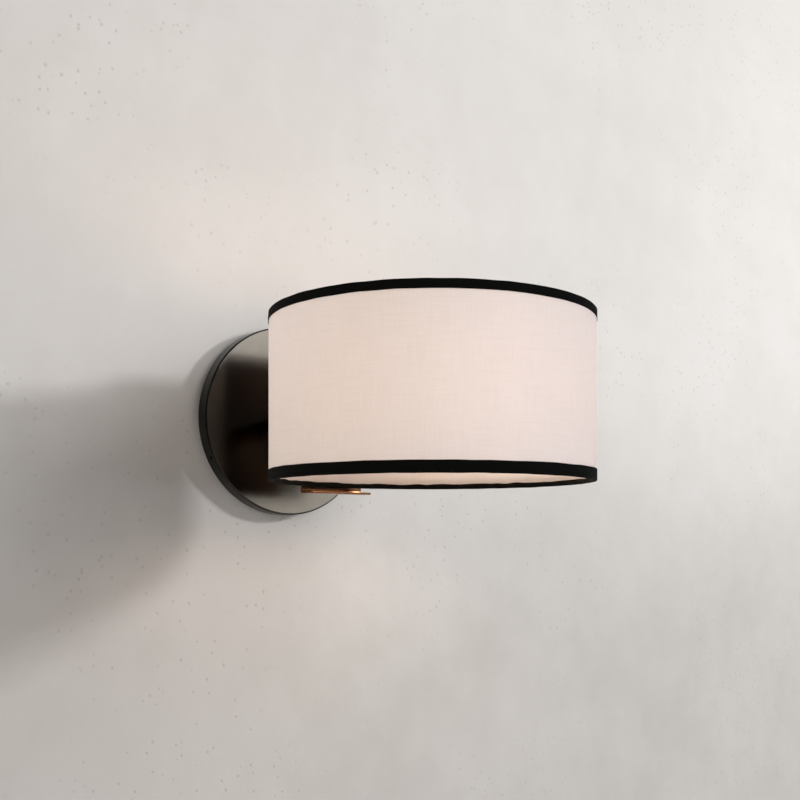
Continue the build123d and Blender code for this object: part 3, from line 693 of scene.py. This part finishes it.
def make_screw_shell():
    """The lampholder's screw shell: open floor for the spring contact and a rolled thread."""
    back = -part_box("screw_shell")[1].y
    front = -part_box("screw_shell")[0].y
    outside = size_of("screw_shell").x / 2
    floor_hole = 6.8 * MM
    corner = 1.2 * MM

    def line(angle):
        floor = back + SHELL_THICKNESS
        out = [(floor_hole, floor), (outside - 1.5 * MM, floor)]
        for step in range(THREAD_STEPS + 1):
            depth = back + corner + (front - back - corner) * step / THREAD_STEPS
            cut = thread_share(depth, back, front)
            threaded = thread_radius(angle, depth, outside - SHELL_THREAD_DEPTH, SHELL_THREAD_DEPTH)
            out.append((outside * (1 - cut) + threaded * cut, depth))
        return out

    points, faces = threaded_sleeve(line, SHELL_THICKNESS)
    return new_piece("threaded_shell", points, faces, "nickel", ["screw_shell"], crease=60)


# ------------------------------------------------------------------------------ pressed metal
def soften(name, node, slot, width, segments=2):
    """A copy of a CAD node with its sharp edges rounded off."""
    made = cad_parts[node].copy()
    made.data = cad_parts[node].data.copy()
    made.name = name
    made.data.name = name
    for key in list(made.keys()):
        del made[key]
    made.parent = None
    bpy.context.scene.collection.objects.link(made)
    shell = bmesh.new()
    shell.from_mesh(made.data)
    bmesh.ops.remove_doubles(shell, verts=shell.verts, dist=0.002 * MM)
    bmesh.ops.dissolve_limit(shell, angle_limit=radians(0.5), verts=shell.verts, edges=shell.edges)
    shell.to_mesh(made.data)
    shell.free()
    modified(made, "BEVEL", width=width, segments=segments, limit_method="ANGLE", angle_limit=radians(40),
             use_clamp_overlap=True)
    return settle(made, slot, [node], "light", 30)


# ------------------------------------------------------------------------------ stage
WALL_Y = 0.6 * MM
FLOOR_Z = -1.3
ROOM = 3.0
PAINTED_SHADE_HEIGHT = -0.24
PAINTED_LIGHT_HEIGHT = 0.10
PITS_PER_METRE = 120


def plain_plane(name, corners, finish):
    mesh = bpy.data.meshes.new(name)
    mesh.from_pydata(corners, [], [(0, 1, 2, 3)])
    mesh.materials.append(finish)
    made = bpy.data.objects.new(name, mesh)
    bpy.context.scene.collection.objects.link(made)
    return made


def plaster_finish():
    """Pale trowelled plaster, painted dimmer low down as shade where less light falls, that is only there
    from the room's side.
    """
    made = Finish("plaster")
    height = made.parts(made.place)["Z"]
    broad = made.noise(made.place, 3.2, 4.0, 0.6)
    cloud = made.noise(made.scaled(made.place, 22, 22, 15), 1.0, 5.0, 0.65)
    trowel = made.noise(made.scaled(made.place, 9, 9, 14), 1.0, 6.0, 0.62)
    tone = made.math("ADD", made.math("MULTIPLY", broad, 0.5), made.math("MULTIPLY", trowel, 0.25))
    tone = made.math("ADD", tone, made.math("MULTIPLY", cloud, 0.25))
    # Painted light and shade: the plaster is painted lighter high up and darker low down, for light that
    # falls off towards the floor.
    upper = made.mix(made.spread(tone, 0.38, 0.62), (0.715, 0.69, 0.665), (0.77, 0.752, 0.73))
    lower = made.mix(made.spread(tone, 0.38, 0.62), (0.545, 0.525, 0.50), (0.61, 0.59, 0.57))
    colour = made.mix(made.spread(height, PAINTED_SHADE_HEIGHT, PAINTED_LIGHT_HEIGHT), lower, upper)
    cells = made.add("ShaderNodeTexVoronoi", voronoi_dimensions="3D")
    made.put(cells.inputs["Vector"], made.scaled(made.place, *[PITS_PER_METRE] * 3))
    cells.inputs["Scale"].default_value = 1.0
    rough_patch = made.spread(made.noise(made.place, 6.0, 3.0), 0.42, 0.6)
    # The pits dent the plaster through the bump, and are also painted darker as shade inside them.
    pit_and_shade = made.math("MULTIPLY", made.spread(cells.outputs["Distance"], 0.2, 0.06), rough_patch)
    colour = made.mix(made.math("MULTIPLY", pit_and_shade, 0.35), colour, (0.42, 0.39, 0.36))
    skin = made.math("SUBTRACT", made.math("ADD", trowel, made.math("MULTIPLY", cloud, 0.35)),
                     made.math("MULTIPLY", pit_and_shade, 0.5))
    made.set(base_color=colour, roughness=0.85, normal=made.bump(skin, 1.2 * MM, 0.4))
    behind = made.add("ShaderNodeNewGeometry").outputs["Backfacing"]
    clear = made.add("ShaderNodeBsdfTransparent")
    both = made.add("ShaderNodeMixShader")
    made.put(both.inputs[0], behind)
    made.put(both.inputs[1], made.shader.outputs[0])
    made.put(both.inputs[2], clear.outputs[0])
    made.put(made.output.inputs["Surface"], both.outputs[0])
    return made.material


def make_stage():
    """The wall that the light hangs on, and a floor far below it."""
    wall = plain_plane("wall", [(-ROOM, WALL_Y, FLOOR_Z), (ROOM, WALL_Y, FLOOR_Z),
                                (ROOM, WALL_Y, ROOM), (-ROOM, WALL_Y, ROOM)], plaster_finish())
    wall.visible_shadow = False
    floor = Finish("floor")
    grain = floor.noise(floor.place, 8.0, 4.0)
    floor.set(base_color=floor.mix(grain, (0.74, 0.73, 0.71), (0.8, 0.79, 0.775)), roughness=0.8)
    plain_plane("floor", [(-ROOM, -2 * ROOM, FLOOR_Z), (ROOM, -2 * ROOM, FLOOR_Z),
                          (ROOM, WALL_Y, FLOOR_Z), (-ROOM, WALL_Y, FLOOR_Z)], floor.material)


SHADE_PIECES = ["linen_drum", "shade_lining", "top_tape", "bottom_tape"]


def area_light(name, place, size, power, colour=(1.0, 1.0, 1.0)):
    """A square softbox that faces the middle of the wall plate."""
    light = bpy.data.lights.new(name, "AREA")
    light.size = size
    light.energy = power
    light.color = colour
    made = bpy.data.objects.new(name, light)
    made.location = place
    made.rotation_euler = (-Vector(place)).to_track_quat("-Z", "Y").to_euler()
    bpy.context.scene.collection.objects.link(made)
    return made


def reach(light, pieces, state):
    """Keep a light's beam on some pieces, or off them, as flags and scrims do in a studio."""
    chosen = bpy.data.collections.new(light.name + "_reach")
    for name in pieces:
        chosen.objects.link(bpy.data.objects[name])
    light.light_linking.receiver_collection = chosen
    for entry in chosen.collection_objects:
        entry.light_linking.link_state = state


def shade_and_room(name, place, size, power, shade_power, tint=(1.0, 1.0, 1.0)):
    """A softbox whose scrim gives the shade a power and a tint of its own."""
    reach(area_light(name, place, size, power), SHADE_PIECES, "EXCLUDE")
    on_shade = area_light(name + "_on_shade", Vector(place) * 1.02, size, shade_power, tint)
    reach(on_shade, SHADE_PIECES, "INCLUDE")


def make_lights():
    """Softboxes round the light, and the lamp inside the bulb."""
    shade_and_room("key", Vector((1.45, -1.0, 0.5)).normalized() * 3, 0.3, 40, 1.5)
    shade_and_room("high_softbox", (0.9, -1.8, 0.9), 0.8, 11, 12, (0.92, 1.03, 1.28))
    left_fill = area_light("left_fill", (-2.0, -0.67, 0.6), 0.9, 10, (1.0, 0.93, 0.86))
    reach(left_fill, ["wall_canopy"], "EXCLUDE")
    shade_fill = area_light("shade_fill", (-1.6, -1.2, 1.1), 0.9, 10, (1.0, 0.97, 0.95))
    reach(shade_fill, SHADE_PIECES, "INCLUDE")
    front_softbox = area_light("front_softbox", (1.2, -1.94, 0.255), 0.95, 6.5)
    reach(front_softbox, ["wall_canopy"], "INCLUDE")
    area_light("front_softbox_on_room", (1.14, -1.84, 0.24), 0.9, 6)
    area_light("front_fill", (0.22, -2.18, 0.22), 0.8, 6)
    behind = area_light("behind_wall", (0.3, 1.6, 0.5), 1.2, 14)
    reach(behind, SHADE_PIECES + ["copper_strap"], "EXCLUDE")
    lamp = bpy.data.lights.new("lamp", "POINT")
    lamp.energy = 0.28
    lamp.color = (1.0, 0.70, 0.53)
    lamp.shadow_soft_size = BALL_RADIUS - 2 * MM
    made = bpy.data.objects.new("lamp", lamp)
    made.location = (0, BALL_RADIUS - BULB_END, 0)
    bpy.context.scene.collection.objects.link(made)
    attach(made, "bulb")
    make_world()
    bpy.context.scene.view_settings.view_transform = "Standard"


def make_world():
    """A faint even light, with a pale backdrop to look at beyond the wall."""
    world = bpy.data.worlds.new("studio")
    world.use_nodes = True
    tree = world.node_tree
    faint = tree.nodes["Background"]
    faint.inputs[0].default_value = (0.95, 0.97, 1.0, 1)
    faint.inputs[1].default_value = 0.04
    pale = tree.nodes.new("ShaderNodeBackground")
    pale.inputs[0].default_value = (0.68, 0.67, 0.66, 1)
    both = tree.nodes.new("ShaderNodeMixShader")
    seen = tree.nodes.new("ShaderNodeLightPath").outputs["Is Camera Ray"]
    tree.links.new(seen, both.inputs[0])
    tree.links.new(faint.outputs[0], both.inputs[1])
    tree.links.new(pale.outputs[0], both.inputs[2])
    tree.links.new(both.outputs[0], tree.nodes["World Output"].inputs["Surface"])
    bpy.context.scene.world = world


# The camera stands level, to the left of the light and a little below it.
CAMERA_PLACE = (-0.4343, -0.7020, -0.0867)
CAMERA_YAW = -37.95
CAMERA_LENS = 48.88
CAMERA_SHIFT = 0.172


def make_camera():
    """A level camera whose frame is shifted up, as in the photo."""
    camera = bpy.data.cameras.new("camera")
    camera.lens = CAMERA_LENS
    camera.shift_y = CAMERA_SHIFT
    camera.clip_start = 0.02
    made = bpy.data.objects.new("camera", camera)
    made.location = CAMERA_PLACE
    made.rotation_euler = (radians(90), 0, radians(CAMERA_YAW))
    bpy.context.scene.collection.objects.link(made)
    bpy.context.scene.camera = made


# ------------------------------------------------------------------------------ the light
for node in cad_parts.values():
    for place, old in enumerate(node.data.materials):
        node.data.materials[place] = FINISHES[old.name.split(".")[0]]

make_linen()
make_lining()
make_tape("top_tape", "top_trim", 1, TOP_TAPE_HEIGHT, 3)
make_tape("bottom_tape", "bottom_trim", -1, BOTTOM_TAPE_HEIGHT, 7)
make_globe()
make_cap()
make_screw_shell()
soften("copper_strap", "shade_bracket", "copper", 0.3 * MM)
soften("wall_plate", "mounting_plate", "zinc_steel", 0.2 * MM)
make_stage()
make_lights()
make_camera()
